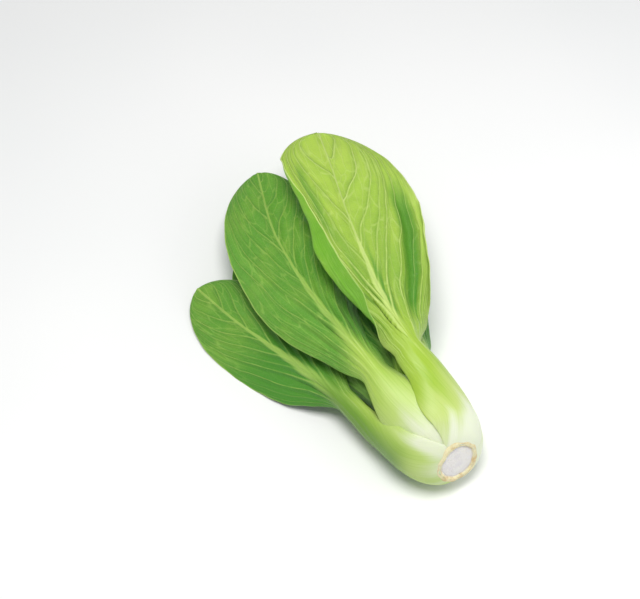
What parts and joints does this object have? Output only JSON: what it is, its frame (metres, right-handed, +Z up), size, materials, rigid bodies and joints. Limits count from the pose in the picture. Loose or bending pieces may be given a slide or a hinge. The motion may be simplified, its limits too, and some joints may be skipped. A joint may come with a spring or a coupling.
{
  "type": "bok choy head",
  "caption": "Whole baby bok choy head lying on its side: cut stem, nested pale leafstalks and waved green blades.",
  "frame": {"origin": "the flat spot under the bulb that the head rests on", "axes": "+X along the head from the cut stem to the leaf tips, +Y to its left, +Z up from the surface it lies on"},
  "size_m": [0.2226, 0.1437, 0.0649],
  "materials": {
    "cut_stem": "matt, fibrous cut face with a tan rim",
    "leaf_pale": "satin, waxy leaf underside, pale yellow-green with paler ribs, ivory stalk",
    "leaf_green": "satin leaf, mid to deep green blade, ivory to lime stalk"
  },
  "bodies": {
    "root": {"stem_base": "cut_stem", "leaf_01_outer_top": "leaf_pale", "leaf_02_outer_left": "leaf_green", "leaf_03_outer_right": "leaf_green", "leaf_04_top": "leaf_green", "leaf_05_under": "leaf_green", "leaf_06_inner_right": "leaf_green", "leaf_07_inner_left": "leaf_green", "leaf_08_inner_under": "leaf_green", "leaf_09_heart_top": "leaf_green", "leaf_10_heart_under": "leaf_green", "leaf_11_bud": "leaf_green"}
  },
  "joints": []
}
